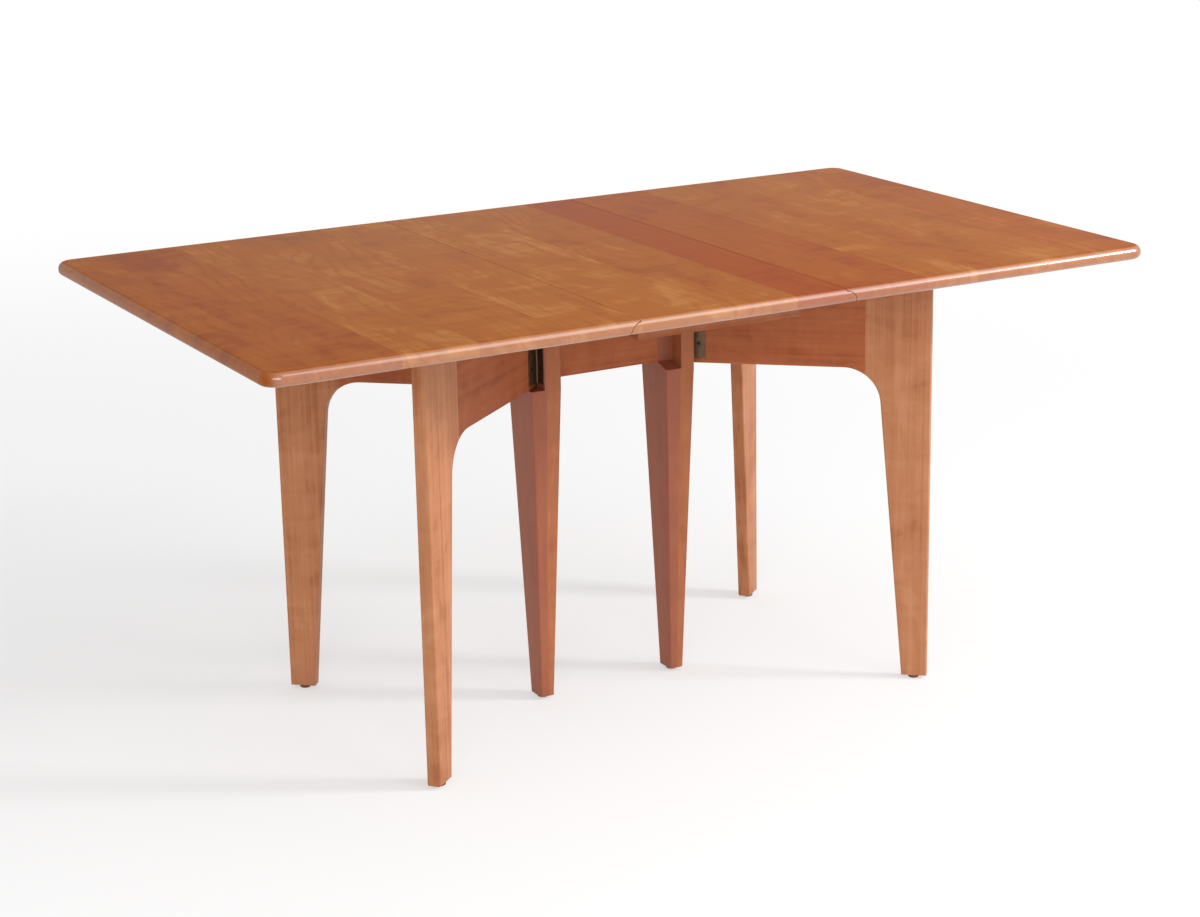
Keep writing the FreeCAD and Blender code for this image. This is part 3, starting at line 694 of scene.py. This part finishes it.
def area_light(name, place, aim, width, height, power):
    """A soft rectangular lamp that points at a place."""
    data = bpy.data.lights.new(name, "AREA")
    data.shape = "RECTANGLE"
    data.size = width
    data.size_y = height
    data.energy = power
    lamp = bpy.data.objects.new(name, data)
    lamp.location = place
    lamp.rotation_euler = (Vector(aim) - Vector(place)).to_track_quat("-Z", "Y").to_euler()
    bpy.context.scene.collection.objects.link(lamp)


class TABLE_OT_studio(Operator):
    """Lay the floor, hang the lamps and set the camera"""

    bl_idname = "table.studio"
    bl_label = "Studio"

    def execute(self, context):
        look = context.scene.table_studio
        self.lay_floor(look)
        self.light(look)
        self.set_camera()
        context.scene.view_settings.view_transform = "Standard"
        return {"FINISHED"}

    def lay_floor(self, look):
        """A pale floor that takes the table's shadow and turns white with distance."""
        bpy.ops.object.select_all(action="DESELECT")
        bpy.ops.mesh.primitive_plane_add(size=look.floor_size, location=(0.0, 0.0, FLOOR_HEIGHT))
        floor = bpy.context.active_object
        floor.name = "studio_floor"
        shader = Shader("studio_floor")
        shader.finish({
            "Base Color": FLOOR_GREY,
            "Roughness": FLOOR_ROUGHNESS,
            "Specular IOR Level": 0.0,
        })
        place = shader.coordinates(shift=GLOW_SHIFT, scale=GLOW_SCALE)
        reach = shader.vector_math("LENGTH", place)
        share = shader.spread(reach, *GLOW_REACH, look.floor_glow, 1.0)
        glow = shader.node("ShaderNodeEmission", Color=WHITE, Strength=1.0)
        blend = shader.node("ShaderNodeMixShader")
        shader.link(shader.math("MULTIPLY", background_rays(shader.tree), share), blend.inputs["Fac"])
        shader.link(shader.surface.outputs["BSDF"], blend.inputs[1])
        shader.link(glow.outputs["Emission"], blend.inputs[2])
        shader.link(blend.outputs["Shader"], shader.tree.nodes["Material Output"].inputs["Surface"])
        floor.data.materials.append(shader.material)

    def light(self, look):
        """Even light from all round in front of a white background, and the lamps."""
        world = bpy.data.worlds.new("studio")
        bpy.context.scene.world = world
        world.use_nodes = True
        tree = world.node_tree
        even = tree.nodes["Background"]
        white = tree.nodes.new("ShaderNodeBackground")
        for background, strength in ((even, look.fill), (white, 1.0)):
            background.inputs["Color"].default_value = WHITE
            background.inputs["Strength"].default_value = strength
        blend = tree.nodes.new("ShaderNodeMixShader")
        tree.links.new(background_rays(tree), blend.inputs["Fac"])
        tree.links.new(even.outputs["Background"], blend.inputs[1])
        tree.links.new(white.outputs["Background"], blend.inputs[2])
        tree.links.new(blend.outputs["Shader"], tree.nodes["World Output"].inputs["Surface"])
        powers = {"key": look.key, "front": look.front, "side": look.side}
        for name, (place, aim, width, height) in LAMPS.items():
            area_light(name, place, aim, width, height, powers[name])

    def set_camera(self):
        forward = Vector((
            math.sin(CAMERA_YAW) * math.cos(CAMERA_PITCH),
            math.cos(CAMERA_YAW) * math.cos(CAMERA_PITCH),
            -math.sin(CAMERA_PITCH),
        ))
        level = Vector((math.cos(CAMERA_YAW), -math.sin(CAMERA_YAW), 0.0))
        above = level.cross(forward)
        right = level * math.cos(CAMERA_ROLL) + above * math.sin(CAMERA_ROLL)
        upward = above * math.cos(CAMERA_ROLL) - level * math.sin(CAMERA_ROLL)
        data = bpy.data.cameras.new("camera")
        camera = bpy.data.objects.new("camera", data)
        bpy.context.scene.collection.objects.link(camera)
        turn = Matrix((right, upward, -forward)).transposed()
        camera.matrix_world = Matrix.Translation(CAMERA_PLACE) @ turn.to_4x4()
        data.sensor_fit = "HORIZONTAL"
        data.sensor_width = SENSOR_WIDTH
        data.lens = FOCAL_PIXELS * SENSOR_WIDTH / FRAME_WIDTH
        data.shift_x = (FRAME_WIDTH / 2 - AXIS_PIXEL[0]) / FRAME_WIDTH
        data.shift_y = (AXIS_PIXEL[1] - FRAME_HEIGHT / 2) / FRAME_WIDTH
        data.clip_end = CLIP_END
        bpy.context.scene.camera = camera


class TABLE_PT_panel(Panel):
    """The steps that finish the table"""

    bl_idname = "TABLE_PT_panel"
    bl_label = "Drop-leaf table"
    bl_space_type = "VIEW_3D"
    bl_region_type = "UI"
    bl_category = "Table"

    def draw(self, context):
        column = self.layout.column()
        for operator in OPERATORS:
            column.operator(operator.bl_idname)


GROUPS = {
    "table_top": TableTop,
    "table_legs": Legs,
    "table_fittings": Fittings,
    "table_studio": Studio,
}
OPERATORS = (
    TABLE_OT_studio, TABLE_OT_top, TABLE_OT_posts, TABLE_OT_frame, TABLE_OT_gates, TABLE_OT_fittings,
)


def register():
    for cls in (*GROUPS.values(), *OPERATORS, TABLE_PT_panel):
        bpy.utils.register_class(cls)
    for name, group in GROUPS.items():
        setattr(bpy.types.Scene, name, PointerProperty(type=group))


def unregister():
    for name in GROUPS:
        delattr(bpy.types.Scene, name)
    for cls in reversed((*GROUPS.values(), *OPERATORS, TABLE_PT_panel)):
        bpy.utils.unregister_class(cls)


def main():
    register()
    bpy.ops.table.studio()
    bpy.ops.table.top()
    bpy.ops.table.posts()
    bpy.ops.table.frame()
    bpy.ops.table.gates()
    bpy.ops.table.fittings()


if __name__ == "__main__":
    main()
